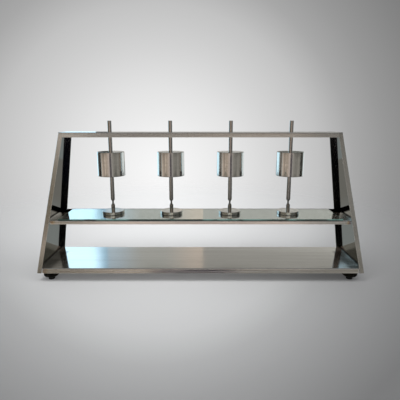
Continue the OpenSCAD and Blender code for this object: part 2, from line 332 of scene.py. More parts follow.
# %% Foot discs
disc_low, disc_high, seat_low = 0.1230, 0.1290, 0.1260
disc_r, seat_r, disc_round = 0.0225, 2.55 * MM, 0.7 * MM
disc_outline = outline_of(
    (0.0, disc_low),
    (disc_r, disc_low, disc_round),
    (disc_r, disc_high, disc_round),
    (seat_r, disc_high),
    (seat_r, seat_low),
    (0.0, seat_low),
)
first = turn_piece("faced_disc_1", *plunger_at[0], disc_outline, steps=96)
for i, piece in one_each(first, "faced_disc", plunger_at):
    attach(piece, f"disc_{i}")
    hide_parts(f"foot_disc_{i}")
print("disc closed, and mm3:", body_check(first))

# %% Ball sockets
spigot_r, collar_r, lip_r, mouth_r = 2.5 * MM, 3.8 * MM, 2.8 * MM, 1.95 * MM
collar_shoulder, collar_top, socket_r = 0.1402, 0.1428, 2.55 * MM
socket_outline = outline_of(
    (0.0, seat_low),
    (spigot_r, seat_low),
    (spigot_r, disc_high),
    (collar_r, disc_high),
    (collar_r, collar_shoulder, 1.4 * MM),
    (lip_r, collar_top, 0.5 * MM),
    (mouth_r, collar_top),
) + ball_outline(socket_r, ball_z, 130)[::-1]
first = turn_piece("ball_collar_1", *plunger_at[0], socket_outline)
for i, piece in one_each(first, "ball_collar", plunger_at):
    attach(piece, f"disc_{i}")
    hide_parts(f"ball_socket_{i}")
print("socket closed, and mm3:", body_check(first))

# %% [markdown]
# ## The moulded knobs
# A levelling foot is turned by a black fluted knob. The flutes are shallow finger hollows in the rim. A ring
# of points is drawn, and at each flute the nearest points are pulled in. The ring is then extruded up over a
# rounded shoulder and down to the narrow end, and both ends are stepped in and bridged to a bore.

# %% The knob's fluted ring
knob_x, knob_y = foot_at[0]
knob_r, ring_points, ring_height = 0.0145, 120, 0.0135
flutes, flute_pulls = 10, ((10.0, 0.985), (7.0, 0.975), (4.0, 0.97), (1.5, 0.985))


def draw_in(factor):
    """Scales what is selected towards the knob's axis."""
    bpy.ops.transform.resize(value=(factor, factor, 1), center_override=(knob_x, knob_y, 0.0))


def from_axis(v):
    """How far a point lies from the knob's axis, and its direction in degrees."""
    x, y = v.co.x - knob_x, v.co.y - knob_y
    return math.hypot(x, y), math.degrees(math.atan2(y, x))


deselect()
bpy.ops.mesh.primitive_circle_add(vertices=ring_points, radius=knob_r,
                                  location=(knob_x, knob_y, ring_height))
knob = bpy.context.object
knob.name = knob.data.name = "moulded_knob_1"
bpy.ops.object.transform_apply(location=True)
bpy.ops.object.mode_set(mode="EDIT")
for n in range(flutes):
    middle = n * 360 / flutes
    for reach, factor in flute_pulls:
        pick(knob, "VERT", lambda v: abs((from_axis(v)[1] - middle + 180) % 360 - 180) < reach)
        draw_in(factor)
print("flutes:", flutes)

# %% The knob's body
def extrude_rings(steps):
    """Adds rings to the first. Each step is how much narrower the next ring is, and its rise in mm."""
    pick(knob, "VERT", lambda v: abs(v.co.z - ring_height) < 0.01 * MM)
    bpy.ops.mesh.select_mode(type="EDGE")
    for factor, rise in steps:
        bpy.ops.mesh.extrude_region_move(TRANSFORM_OT_translate={"value": (0, 0, rise * MM)})
        draw_in(factor)


shoulder_and_top = [(0.995, 0.8), (0.985, 0.6), (0.965, 0.4), (0.94, 0.2), (0.5, 0.0), (0.62, 0.0)]
rim_and_bottom = [(1.0, -4.0), (0.99, -0.7), (0.93, -0.9), (0.62, -3.0), (0.93, -0.4), (0.6, 0.0)]
extrude_rings(shoulder_and_top)
extrude_rings(rim_and_bottom)
print("knob points so far:", len(bmesh.from_edit_mesh(knob.data).verts))

# %% The knob's bore, and the other knobs
knob_bottom, knob_top = 0.0045, 0.0155
knob_bore_r, within = 4.05 * MM, 5.2 * MM
for end_height in (knob_top, knob_bottom):
    pick(knob, "VERT", lambda v: abs(v.co.z - end_height) < 0.01 * MM and from_axis(v)[0] < within)
    mesh = bmesh.from_edit_mesh(knob.data)
    for v in mesh.verts:
        if v.select:
            away = Vector((v.co.x - knob_x, v.co.y - knob_y, 0.0)).normalized() * knob_bore_r
            v.co.x, v.co.y = knob_x + away.x, knob_y + away.y
    bmesh.update_edit_mesh(knob.data)
pick(knob, "EDGE", lambda e: all(abs(from_axis(v)[0] - knob_bore_r) < 0.001 * MM for v in e.verts))
bpy.ops.mesh.bridge_edge_loops()
bpy.ops.mesh.select_all(action="SELECT")
bpy.ops.mesh.remove_doubles(threshold=0.001 * MM)
bpy.ops.mesh.normals_make_consistent(inside=False)
bpy.ops.object.mode_set(mode="OBJECT")
settle(knob, 40)
for i, piece in list(one_each(knob, "moulded_knob", foot_at)):
    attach(piece, f"knob_{i}")
    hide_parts(f"level_knob_{i}")
print("knob closed, and mm3:", body_check(knob))

# %% [markdown]
# ## The rubber pads
# Each foot ends in a small rubber pad that stays still on the bench while the knob turns. Moulded rubber has
# no sharp corner, so every outer corner is rounded, and a shallow groove shows where it flexes.

# %% Pads
pad_r, groove_r, pad_high, socket_floor, socket_wall = 6.0 * MM, 5.7 * MM, 4.0 * MM, 1.5 * MM, 3.05 * MM
pad_outline = outline_of(
    (0.0, 0.0),
    (pad_r, 0.0, 0.5 * MM),
    (pad_r, 1.4 * MM),
    (groove_r, 1.8 * MM, 0.2 * MM),
    (pad_r, 2.2 * MM),
    (pad_r, pad_high, 0.5 * MM),
    (socket_wall, pad_high),
    (socket_wall, socket_floor),
    (0.0, socket_floor),
)
first = turn_piece("rubber_pad_1", *foot_at[0], pad_outline)
for i, piece in one_each(first, "rubber_pad", foot_at):
    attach(piece, f"pad_{i}")
    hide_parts(f"level_pad_{i}")
print("pad closed, and mm3:", body_check(first))

# %% [markdown]
# ## Small helpers for node trees
# A finish is a small tree of nodes. Adding a node and filling its sockets in one line keeps each finish short
# enough to read as a recipe. Sums get a helper each, because a finish is mostly made of them.

# %% Helpers for nodes
def add(tree, kind, inputs=None, **settings):
    """Adds a node. A socket given as a value is filled, and one given as another node's socket is linked."""
    made = tree.nodes.new(kind)
    for key, value in settings.items():
        setattr(made, key, value)
    for key, value in (inputs or {}).items():
        if isinstance(value, bpy.types.NodeSocket):
            tree.links.new(value, made.inputs[key])
        else:
            made.inputs[key].default_value = value
    return made


def maths(tree, what, a, b=0.0):
    return add(tree, "ShaderNodeMath", {0: a, 1: b}, operation=what).outputs[0]


def plus(tree, a, b):
    return maths(tree, "ADD", a, b)


def minus(tree, a, b):
    return maths(tree, "SUBTRACT", a, b)


def times(tree, a, b):
    return maths(tree, "MULTIPLY", a, b)


def size_of(tree, a):
    return maths(tree, "ABSOLUTE", a)


def band(tree, value, low, high, to_low=0.0, to_high=1.0):
    """Follows a value smoothly from one level to another."""
    made = add(tree, "ShaderNodeMapRange", {0: value, 1: low, 2: high, 3: to_low, 4: to_high},
               interpolation_type="SMOOTHSTEP")
    return made.outputs[0]


def split(tree, vector):
    """The X, Y and Z of a vector."""
    return add(tree, "ShaderNodeSeparateXYZ", {0: vector}).outputs


print("node helpers: add, maths, band and split")

# %% Helpers for colours
def shade(colour, factor):
    return tuple(c * factor for c in colour)


def solid(colour, factor=1.0):
    """A colour as a socket wants it, made darker or lighter by a factor."""
    return (*shade(colour, factor), 1)


def plain_grey(level):
    return (level, level, level)


def blend_colour(tree, amount, first, second, how="MIX"):
    made = add(tree, "ShaderNodeMix", {0: amount, 6: first, 7: second}, data_type="RGBA", blend_type=how)
    return made.outputs[2]


def ramp(tree, value, *stops):
    made = add(tree, "ShaderNodeValToRGB", {0: value})
    marks = made.color_ramp.elements
    while len(marks) < len(stops):
        marks.new(0.5)
    for mark, (place, colour) in zip(marks, stops):
        mark.position, mark.color = place, solid(colour)
    return made.outputs[0]


print("middle grey as a socket wants it:", solid(plain_grey(0.5)))

# %% Helpers for a finish
def new_finish(name):
    """A material with its shader and its object coordinates ready."""
    material = bpy.data.materials.new(name)
    material.use_nodes = True
    tree = material.node_tree
    shader = tree.nodes["Principled BSDF"]
    place = add(tree, "ShaderNodeTexCoord").outputs["Object"]
    return material, tree, shader, place


def coat(tree, shader, colour, rough, height=None, distance=0.0, strength=0.6, metallic=None):
    """Joins a finish's colour, roughness and bump to its shader."""
    tree.links.new(colour, shader.inputs["Base Color"])
    tree.links.new(rough, shader.inputs["Roughness"])
    if height:
        bump = add(tree, "ShaderNodeBump", {"Height": height, "Distance": distance, "Strength": strength})
        tree.links.new(bump.outputs[0], shader.inputs["Normal"])
    if metallic is not None:
        shader.inputs["Metallic"].default_value = metallic


def give(piece, *materials):
    piece.data.materials.clear()
    for material in materials:
        piece.data.materials.append(material)


print("finishes so far:", len(bpy.data.materials))

# %% Helpers for noise
def centred_on(tree, place, x, y=0.0):
    """Coordinates that start from an upright axis at X and Y."""
    return add(tree, "ShaderNodeMapping", {"Vector": place, "Location": (-x, -y, 0.0)}).outputs[0]


def noise(tree, place, scale, detail=3.0, rough=0.5, turn=(0.0, 0.0, 0.0), shift=(0.0, 0.0, 0.0)):
    """Noise at its own scale along X, Y and Z, or at one scale all round, in cycles a metre."""
    scale = scale if isinstance(scale, tuple) else (scale, scale, scale)
    laid = add(tree, "ShaderNodeMapping", {"Vector": place, "Location": shift, "Rotation": turn})
    spread = add(tree, "ShaderNodeVectorMath", {0: laid.outputs[0], 1: scale}, operation="MULTIPLY")
    made = add(tree, "ShaderNodeTexNoise", {"Vector": spread.outputs[0], "Scale": 1.0, "Detail": detail,
                                            "Roughness": rough})
    return made.outputs[0]


def noise_along(tree, value, cycles, detail, rough=0.5):
    """Noise that changes with one value only."""
    made = add(tree, "ShaderNodeTexNoise", {"W": times(tree, value, cycles), "Scale": 1.0, "Detail": detail,
                                            "Roughness": rough}, noise_dimensions="1D")
    return made.outputs[0]


print("noise over a whole place, and along one value")

# %% [markdown]
# ## Bright sheet steel
# The stand is folded from stainless sheet with a near mirror face. Seen close, rolling and wiping leave long
# fine lines along the sheet, a few smudges make it duller in patches, and its folds and cut edges are painted
# brighter, partly as wear and partly as a painted highlight. At the welded ends the heat has left a faint
# straw and brown tint. Painted shade darkens the joints with the panels, the inner faces of the rear edges,
# and the ends and rear edge of the trays. All of this is laid out from the object's own coordinates, so it
# stays on the metal in every view.

# %% Steel colours, where wear and painted highlights lie, and where shade is painted
# The second colour is a brighter steel, painted for wear and as a painted highlight on edges
STEEL, WEAR_GLINT = (0.62, 0.60, 0.57), (0.80, 0.79, 0.77)
# Painted shade: near black for the rear edges' inner faces and for the trays' ends, and a dark line at the
# joints
PAINTED_SHADE_BLACK, PAINTED_DARK, JOINT_SHADE = (0.03, 0.03, 0.03), (0.03, 0.028, 0.022), (0.05, 0.048, 0.04)

# Where a mark begins and where it is full: how far out at the frame's foot, or how far from its line
fold_out, fold_front = (0.3175, 0.3195), (0.0655, 0.0675)
cut_out, cut_front = (0.3125, 0.3112), (0.0655, 0.0665)
joint_shade_out, heat_out = (0.3150, 0.3172), (0.2965, 0.309)
wear_glint_width = (1.1 * MM, 0.2 * MM)


def slid_to_foot(tree, across, z, angle):
    """How far out a point would lie if it slid down along the lean to the frame's foot."""
    return plus(tree, size_of(tree, across), times(tree, minus(tree, z, frame_low), math.tan(angle)))


def wear_glint_lines(tree, side, depth, z, lines, heights):
    """Brighter as wear and as a painted highlight: the panel's fold, its inner cut edge, and the given
    heights.
    """
    fold = times(tree, band(tree, side, *fold_out), band(tree, depth, *fold_front))
    cut_edge = times(tree, band(tree, side, *cut_out), band(tree, depth, *cut_front))
    wear_glint = plus(tree, fold, cut_edge)
    for height in heights:
        wear_glint = plus(tree, wear_glint, band(tree, size_of(tree, minus(tree, z, height)), *wear_glint_width))
    return times(tree, wear_glint, band(tree, lines, 0.35, 0.6, 0.45, 1.0))


def shelf_painted_dark(tree, side, y):
    """Painted shade on the shelf beyond the glass: its ends towards the back, and fainter along the rear edge.
    """
    ends = times(tree, band(tree, side, 0.2762, 0.2772), band(tree, y, 0.008, 0.024))
    return maths(tree, "MAXIMUM", ends, band(tree, y, 0.0405, 0.0415, 0.0, 0.6))


def base_painted_dark(tree, side, y):
    """Painted shade on the ends of the base plate, all but their rear corners."""
    return times(tree, band(tree, side, 0.286, 0.297), band(tree, y, 0.042, 0.030, 0.0, 0.42))


def heat_tint(tree, place, colour, side, edgewise, strength):
    """Straw, brown and blue in patches near the welds."""
    patch = band(tree, noise(tree, place, 60.0, 2.0), 0.42, 0.6)
    heat = times(tree, times(tree, patch, band(tree, side, *heat_out)), edgewise)
    tint = ramp(tree, heat, (0.0, (1.0, 1.0, 1.0)), (0.35, (0.92, 0.78, 0.55)), (0.7, (0.62, 0.36, 0.20)),
                (1.0, (0.40, 0.42, 0.52)))
    return blend_colour(tree, strength, colour, blend_colour(tree, 1.0, colour, tint, "MULTIPLY"))


print("steel:", STEEL)

# %% Sheet steel
def sheet_finish(name, along, turn=0.0, wear_glint_heights=(), heat=0.0, painted_dark_at=None, top=0.0):
    """Sheet steel with its lines along X or up the panel, turned to follow the panel's lean."""
    material, tree, shader, place = new_finish(name)

    def drawn_out(slow, fast, detail, rough):
        """Noise that changes slowly along the sheet and fast across it."""
        scale = (slow, fast, fast) if along == "X" else (fast, fast, slow)
        return noise(tree, place, scale, detail, rough, (0.0, turn, 0.0))

    lines, fine = drawn_out(3.0, 420.0, 4.0, 0.6), drawn_out(14.0, 1700.0, 2.0, 0.5)
    smudge = noise(tree, place, (9.0, 14.0, 14.0), 4.0, 0.55, shift=(0.7, 0.2, 0.1))

    # Lips and folded edges, which face the front or the back, are duller than the flat faces
    x, y, z = split(tree, place)
    side, depth = slid_to_foot(tree, x, z, lean), slid_to_foot(tree, y, z, slope)
    facing_y = split(tree, add(tree, "ShaderNodeTexCoord").outputs["Normal"])[1]
    edgewise = band(tree, size_of(tree, facing_y), 0.5, 0.9)
    flat = minus(tree, 1.0, edgewise)
    wear_glint = wear_glint_lines(tree, side, depth, z, lines, wear_glint_heights)

    grain = times(tree, minus(tree, lines, 0.5), plus(tree, times(tree, edgewise, 1.3), 0.2))
    colour = blend_colour(tree, plus(tree, grain, 0.5), solid(STEEL, 0.88), solid(STEEL, 1.08))
    colour = blend_colour(tree, band(tree, smudge, 0.45, 0.75, 0.0, 0.35), colour, solid(STEEL, 0.86))
    # Wear and painted highlight: the folds, cut edges and given heights are painted brighter
    colour = blend_colour(tree, times(tree, wear_glint, 0.7), colour, solid(WEAR_GLINT))
    if along == "Z":
        # Painted shade: the inner faces of the rear edges are painted near black
        inner = times(tree, band(tree, y, 0.0, 0.01), band(tree, facing_y, -0.5, -0.9))
        colour = blend_colour(tree, times(tree, inner, 0.75), colour, solid(PAINTED_SHADE_BLACK))
    if painted_dark_at:
        # Painted shade: these places on top of a tray are painted near black, and their mirror is dimmed
        painted_dark_mask = times(tree, painted_dark_at(tree, size_of(tree, x), y), band(tree, z, top - 0.8 * MM, top - 0.2 * MM))
        colour = blend_colour(tree, times(tree, painted_dark_mask, 0.9), colour, solid(PAINTED_DARK))
        mirror = blend_colour(tree, painted_dark_mask, solid(plain_grey(1.0)), solid(plain_grey(0.05)))
        tree.links.new(mirror, shader.inputs["Specular Tint"])
    if along == "X":
        # Painted shade: a dark line on the tray's flat faces where it meets a panel
        joint_shade_mask = times(tree, band(tree, side, *joint_shade_out), flat)
        colour = blend_colour(tree, times(tree, joint_shade_mask, 0.9), colour, solid(JOINT_SHADE))
    if heat:
        colour = heat_tint(tree, place, colour, side, edgewise, heat)

    lip_rough = times(tree, band(tree, fine, 0.3, 0.7, 0.10, 0.24), edgewise)
    flat_rough = times(tree, band(tree, smudge, 0.35, 0.75, 0.035, 0.085), flat)
    rough = plus(tree, plus(tree, lip_rough, flat_rough), times(tree, wear_glint, 0.06))
    height = plus(tree, times(tree, lines, 0.6), times(tree, fine, 0.4))
    height = times(tree, height, plus(tree, times(tree, edgewise, 0.95), 0.05))
    coat(tree, shader, colour, rough, height, distance=0.004 * MM, metallic=1.0)
    return material


print("worn lines are", 2 * wear_glint_width[1] / MM, "mm wide, and fade out")

# %% A finish for each sheet
nodes = frame["nodes"]
sheets = {
    "base_tray": sheet_finish("sheet_base", "X", wear_glint_heights=(0.0183, 0.0272), heat=0.5, painted_dark_at=base_painted_dark,
                              top=0.0275),
    "shelf_tray": sheet_finish("sheet_shelf", "X", wear_glint_heights=(0.1133,), heat=0.8, painted_dark_at=shelf_painted_dark,
                               top=0.1200),
    "top_beam": sheet_finish("sheet_beam", "X", wear_glint_heights=(0.2788, 0.2877)),
    "side_panel_left": sheet_finish("sheet_left", "Z", turn=-lean),
    "side_panel_right": sheet_finish("sheet_right", "Z", turn=lean),
}
for node_name, material in sheets.items():
    nodes[node_name].material_slots[0].material = material
print("sheet finishes:", len(sheets))

# %% [markdown]
# ## Turned and polished steel
# A lathe tool leaves rings round the axis, on the ends as well as on the side. The distance from the axis
# plus the height is the same all along such a ring, so noise that reads only that sum draws them. Each
# plunger has its own copy of the finish, centred on its axis by a Mapping node.

# %% Turned steel
# A brighter steel for the edges, painted for wear and as a painted highlight
EDGE_GLINT, edge_glint_width = (0.82, 0.81, 0.79), (1.2 * MM, 0.3 * MM)


def turned_finish(name, x, bright_edges, low_rough, high_rough, hue):
    material, tree, shader, place = new_finish(name)
    centred = centred_on(tree, place, x)
    out_x, out_y, up = split(tree, centred)
    level = add(tree, "ShaderNodeCombineXYZ", {0: out_x, 1: out_y}).outputs[0]
    radius = add(tree, "ShaderNodeVectorMath", {0: level}, operation="LENGTH").outputs["Value"]
    path = plus(tree, radius, up)
    rings = noise_along(tree, path, 900.0, 3.0)
    wide = noise_along(tree, path, 120.0, 2.0)
    smudge = noise(tree, centred, (55.0, 55.0, 40.0), 3.0)
    colour = blend_colour(tree, rings, solid(hue, 0.91), solid(hue, 1.08))
    colour = blend_colour(tree, band(tree, smudge, 0.5, 0.75, 0.0, 0.3), colour, solid(hue, 0.84))
    # Wear and painted highlight: the edges at the given heights are painted brighter
    wear_glint = 0.0
    for height in bright_edges:
        wear_glint = plus(tree, wear_glint, band(tree, size_of(tree, minus(tree, up, height)), *edge_glint_width))
    colour = blend_colour(tree, times(tree, wear_glint, 0.35), colour, solid(EDGE_GLINT))
    smudged = band(tree, smudge, 0.5, 0.8, 0.0, 0.06)
    rough = plus(tree, band(tree, wide, 0.3, 0.7, low_rough, high_rough), smudged)
    coat(tree, shader, colour, rough, rings, distance=0.003 * MM, metallic=1.0)
    return material


for i, (x, _) in enumerate(plunger_at, 1):
    for piece_name, finish_name, bright_edges, low_rough, high_rough, hue in (
        ("turned_weight", "turned", (weight_low, weight_high), 0.06, 0.13, (0.60, 0.58, 0.55)),
        ("ground_rod", "ground", (0.3097,), 0.09, 0.18, (0.45, 0.43, 0.41)),
        ("faced_disc", "faced", (0.1233, 0.1287), 0.07, 0.14, (0.57, 0.55, 0.52)),
        ("ball_collar", "pressed", (), 0.12, 0.2, (0.34, 0.32, 0.29)),
    ):
        finish = turned_finish(f"{finish_name}_{i}", x, bright_edges, low_rough, high_rough, hue)
        give(bpy.data.objects[f"{piece_name}_{i}"], finish)
print("turned finishes:", 4 * len(plunger_at))

# %% [markdown]
# ## Clear glass and its ground edge
# Float glass looks clear through its face and green through its edge, because the light there has gone a long
# way through the iron in it. So the plate has two finishes: a clear one for its faces, and a duller green one
# for the ground edges. Faint wipe marks change the roughness of the clear faces.

# %% Glass finishes
GLASS_IOR, shade_heights = 1.5, (0.1224, 0.1214)


def glass_face():
    material, tree, shader, place = new_finish("clear_float_glass")
    wipes = noise(tree, place, (18.0, 70.0, 70.0), 4.0, 0.6)
    tint = blend_colour(tree, wipes, (0.88, 0.955, 0.935, 1), (0.93, 0.975, 0.96, 1))
    coat(tree, shader, tint, band(tree, wipes, 0.45, 0.8, 0.0, 0.05))
    shader.inputs["IOR"].default_value = GLASS_IOR
    shader.inputs["Transmission Weight"].default_value = 1.0
    return material


def glass_edge():
    """Green in runs, paler on the two short ends, and in the shade of the shelf's fold in its lower half."""
    material, tree, shader, place = new_finish("ground_glass_edge")
    grind = noise(tree, place, 900.0)
    runs = noise(tree, place, (26.0, 26.0, 4.0), 2.0)
    tint = blend_colour(tree, band(tree, runs, 0.48, 0.62), (0.02, 0.05, 0.04, 1), (0.16, 0.32, 0.28, 1))
    facing_x = split(tree, add(tree, "ShaderNodeTexCoord").outputs["Normal"])[0]
    end_face = band(tree, size_of(tree, facing_x), 0.3, 0.6)
    tint = blend_colour(tree, end_face, tint, (0.55, 0.68, 0.62, 1))
    shaded = times(tree, band(tree, split(tree, place)[2], *shade_heights), minus(tree, 1.0, end_face))
    tint = blend_colour(tree, times(tree, shaded, 0.6), tint, (0.004, 0.008, 0.007, 1))
    rough = band(tree, grind, 0.3, 0.7, 0.15, 0.35)
    coat(tree, shader, tint, rough, grind, distance=0.01 * MM, strength=0.15)
    shader.inputs["IOR"].default_value = GLASS_IOR
    return material


give(glass, glass_face(), glass_edge())
on_edge = [face for face in glass.data.polygons if abs(face.normal.z) < 0.95]
for face in on_edge:
    face.material_index = 1
print("glass edge faces:", len(on_edge), "of", len(glass.data.polygons))

# %% [markdown]
# ## Bronze, zinc and the black pieces
# The bushes are sintered bronze, a little porous and dark with oil. Studs, nuts and grub screws are zinc
# plated, with a cloudy grey surface. The knobs are moulded with a soft sheen, and the pads are dull rubber.
# The studs carry a fine thread: its height goes once round while it climbs one pitch, so the angle round the
# stud plus the height draws a true helix in the bump.

# %% Bronze, zinc, plastic and rubber
def mottled_finish(name, dark, light, low_rough, high_rough, scale, bump_depth, metallic=0.0, specular=None):
    """Clouds of two shades, with finer dark grains that also make the bump."""
    material, tree, shader, place = new_finish(name)
    clouds = noise(tree, place, scale, 5.0, 0.6)
    grains = noise(tree, place, 14 * scale)
    colour = blend_colour(tree, band(tree, clouds, 0.35, 0.65), solid(dark), solid(light))
    colour = blend_colour(tree, band(tree, grains, 0.58, 0.75, 0.0, 0.4), colour, solid(dark, 0.6))
    coat(tree, shader, colour, band(tree, clouds, 0.3, 0.7, low_rough, high_rough), grains,
         distance=bump_depth, metallic=metallic)
    if specular is not None:
        shader.inputs["Specular IOR Level"].default_value = specular
    return material


ZINC_DARK, ZINC_LIGHT = (0.40, 0.41, 0.42), (0.52, 0.53, 0.54)
zinc = mottled_finish("zinc_plate", ZINC_DARK, ZINC_LIGHT, 0.28, 0.45, 130.0, 0.006 * MM, metallic=1.0)
bronze = mottled_finish("oily_bronze", (0.42, 0.27, 0.12), (0.66, 0.47, 0.24), 0.25, 0.42, 150.0, 0.015 * MM,
                        metallic=1.0)
plastic = mottled_finish("moulded_plastic", (0.0015, 0.0014, 0.001), (0.010, 0.008, 0.004), 0.34, 0.52, 140.0,
                         0.012 * MM, specular=0.08)
rubber = mottled_finish("dull_rubber", (0.006, 0.006, 0.006), (0.016, 0.015, 0.014), 0.65, 0.85, 180.0,
                        0.020 * MM, specular=0.25)
print("plain finishes: zinc, bronze, plastic and rubber")

# %% Threads, and who gets which finish
pitch, thread_start = 1.25 * MM, (4.2 * MM, 4.6 * MM)


def thread_finish(name, x, y):
    """Zinc with a thread above the pad's socket: painted shade in the groove, and raised by the bump."""
    material, tree, shader, place = new_finish(name)
    centred = centred_on(tree, place, x, y)
    out_x, out_y, up = split(tree, centred)
    wave = maths(tree, "SINE", minus(tree, times(tree, up, 2 * math.pi / pitch),
                                     maths(tree, "ARCTAN2", out_y, out_x)))
    threaded = band(tree, up, *thread_start)
    clouds = noise(tree, centred, 160.0, 4.0)
    colour = blend_colour(tree, clouds, solid(ZINC_DARK), solid(ZINC_LIGHT))
    # Painted shade: the thread's groove is painted darker
    groove = times(tree, band(tree, wave, 0.2, -0.9), threaded)
    colour = blend_colour(tree, times(tree, groove, 0.6), colour, solid(plain_grey(0.13)))
    coat(tree, shader, colour, band(tree, clouds, 0.3, 0.7, 0.28, 0.42), times(tree, wave, threaded),
         distance=0.15 * MM, strength=1.0, metallic=1.0)
    return material


for i, (x, y) in enumerate(foot_at, 1):
    nodes[f"guide_bush_{i}"].material_slots[0].material = bronze
    nodes[f"weight_screw_{i}"].material_slots[0].material = zinc
    nodes[f"level_stud_{i}"].material_slots[0].material = thread_finish(f"stud_thread_{i}", x, y)
    give(bpy.data.objects[f"moulded_knob_{i}"], plastic)
    give(bpy.data.objects[f"rubber_pad_{i}"], rubber)
nodes["foot_nuts"].material_slots[0].material = zinc
print("threads:", len(foot_at))

# %% [markdown]
# ## Backdrop and floor
# The stand is shown against a grey that is almost white behind it and falls off to the corners, a pool of
# light painted on the backdrop. The world holds that falloff as a ramp over the angle from one direction, and
# only the camera, reflections and glass see it. What lights the object from all round is a plain level. The
# floor's colour repeats the same falloff as painted light and fades out, so no horizon shows, and it keeps the
# stand's shadow.

# %% The falloff
# The direction of the light patch's middle, and the place in the studio that it is seen from
LIGHT_CENTRE, EYE = Vector((-0.100, 0.986, -0.130)).normalized(), (0.0, -0.787, 0.312)
SIDE_GREY, MIRRORED_GREY = solid(plain_grey(0.62)), solid(plain_grey(0.32))
widest_angle, patch_ends = 45.0, (48.0, 75.0)
greys = [(0.0, 0.95), (0.13, 0.87), (0.26, 0.77), (0.38, 0.65), (0.50, 0.54), (0.60, 0.39), (0.69, 0.31),
         (0.80, 0.235), (0.90, 0.175)]


def falloff(tree, direction, beside):
    """Grey by a direction's angle from the middle of the light patch, and one plain grey beside the patch."""
    aim = add(tree, "ShaderNodeVectorMath", {0: direction, 1: tuple(LIGHT_CENTRE)}, operation="DOT_PRODUCT")
    angle = maths(tree, "DEGREES", maths(tree, "ARCCOSINE", aim.outputs["Value"]))
    stops = [(place, plain_grey(level)) for place, level in greys]
    grey = ramp(tree, maths(tree, "DIVIDE", angle, widest_angle), *stops)
    return blend_colour(tree, band(tree, angle, *patch_ends), grey, beside)


print("greys from", greys[0][1], "in the middle to", greys[-1][1], "in the corners")

# %% Backdrop
world = bpy.data.worlds.new("studio")
world.use_nodes = True
bpy.context.scene.world = world
tree = world.node_tree
tree.nodes.clear()
direction = add(tree, "ShaderNodeTexCoord").outputs["Generated"]
rays = add(tree, "ShaderNodeLightPath").outputs
seen = plus(tree, plus(tree, rays["Is Camera Ray"], rays["Is Glossy Ray"]), rays["Is Transmission Ray"])
seen = maths(tree, "MINIMUM", seen, 1.0)
beside = blend_colour(tree, rays["Is Camera Ray"], MIRRORED_GREY, SIDE_GREY)
shown = add(tree, "ShaderNodeBackground", {"Color": falloff(tree, direction, beside), "Strength": 1.0})
level = add(tree, "ShaderNodeBackground", {"Color": (0.96, 0.98, 1.0, 1), "Strength": 0.66})
mixed = add(tree, "ShaderNodeMixShader", {0: seen, 1: level.outputs[0], 2: shown.outputs[0]})
add(tree, "ShaderNodeOutputWorld", {0: mixed.outputs[0]})
print("world:", world.name)

# %% Floor
floor_r, solid_to, gone_at, floor_share = 2.0, 0.45, 1.35, 0.84
deselect()
bpy.ops.mesh.primitive_circle_add(vertices=96, radius=floor_r, fill_type="NGON", location=(0, 0, 0))
floor = bpy.context.object
floor.name = floor.data.name = "studio_floor"
material, tree, shader, place = new_finish("floor_paper")
tree.nodes.remove(shader)
away = add(tree, "ShaderNodeVectorMath", {0: place, 1: EYE}, operation="SUBTRACT")
unit = add(tree, "ShaderNodeVectorMath", {0: away.outputs[0]}, operation="NORMALIZE")
# Painted light: the floor's colour is the falloff, a pool of light seen from the camera's place
diffuse = add(tree, "ShaderNodeBsdfDiffuse", {"Color": falloff(tree, unit.outputs[0], SIDE_GREY)})
clear = add(tree, "ShaderNodeBsdfTransparent")
distance = add(tree, "ShaderNodeVectorMath", {0: place}, operation="LENGTH").outputs["Value"]
there = band(tree, distance, gone_at, solid_to, 0.0, floor_share)
mixed = add(tree, "ShaderNodeMixShader", {0: there, 1: clear.outputs[0], 2: diffuse.outputs[0]})
tree.links.new(mixed.outputs[0], tree.nodes["Material Output"].inputs["Surface"])
floor.data.materials.append(material)
print("floor fades out from", solid_to, "m to", gone_at, "m")

# %% [markdown]
# ## Soft light
# One large lamp high at the front left gives the soft shadow, and a second one opens up the right side. They
# don't show in the metal or through the glass: what polished steel mirrors is set up in the next step.

# %% Lamps
def soft_lamp(name, place, power, size=1.8):
    lamp = bpy.data.lights.new(name, "AREA")
    lamp.shape, lamp.size, lamp.energy = "SQUARE", size, power
    made = bpy.data.objects.new(name, lamp)
    made.location = place
    made.rotation_euler = (Vector((0, 0, 0.12)) - Vector(place)).to_track_quat("-Z", "Y").to_euler()
    made.visible_glossy = made.visible_transmission = False
    bpy.context.collection.objects.link(made)


soft_lamp("key", (-0.9, -1.1, 3.0), 42.0)
soft_lamp("fill", (1.8, -0.9, 2.6), 24.0)
print("lamps: key and fill")

# %% [markdown]
# ## The room that the steel mirrors
# Polished steel has hardly a colour of its own: it shows the room. In a photo studio cards are stood round
# such an object, and this step does the same. A cool window lies behind on the left and plain walls in the
# middle and on the right, a warm wall with stripes stands at the front left and a grey one at the front right,
# and darker cards lie on the bench. Only reflections and glass see them, so they neither light the stand nor
# show in the picture.

# %% What cards are made of
def card_paint(name, colour, other=None, change=(0.0, 1.0), across=False, stripes=0.0, stripe_width=5.0):
    """Plain light of one colour, or of two that change up or across the card, with soft upright stripes."""
    material, tree, shader, place = new_finish(name)
    tree.nodes.remove(shader)
    along, up, _ = split(tree, place)
    paint = solid(colour)
    if other:
        turn = band(tree, plus(tree, along if across else up, 0.5), *change)
        paint = blend_colour(tree, turn, paint, solid(other))
    if stripes:
        lines = noise_along(tree, along, stripe_width, 3.0, 0.6)
        paint = blend_colour(tree, band(tree, lines, 0.36, 0.60, 0.0, stripes), paint, solid(colour, 0.35))
    glow = add(tree, "ShaderNodeEmission", {"Color": paint, "Strength": 1.0})
    tree.links.new(glow.outputs[0], tree.nodes["Material Output"].inputs["Surface"])
    return material


print("finishes before the first card:", len(bpy.data.materials))

# %% How cards stand
room_r, deep = 2.6, -0.75


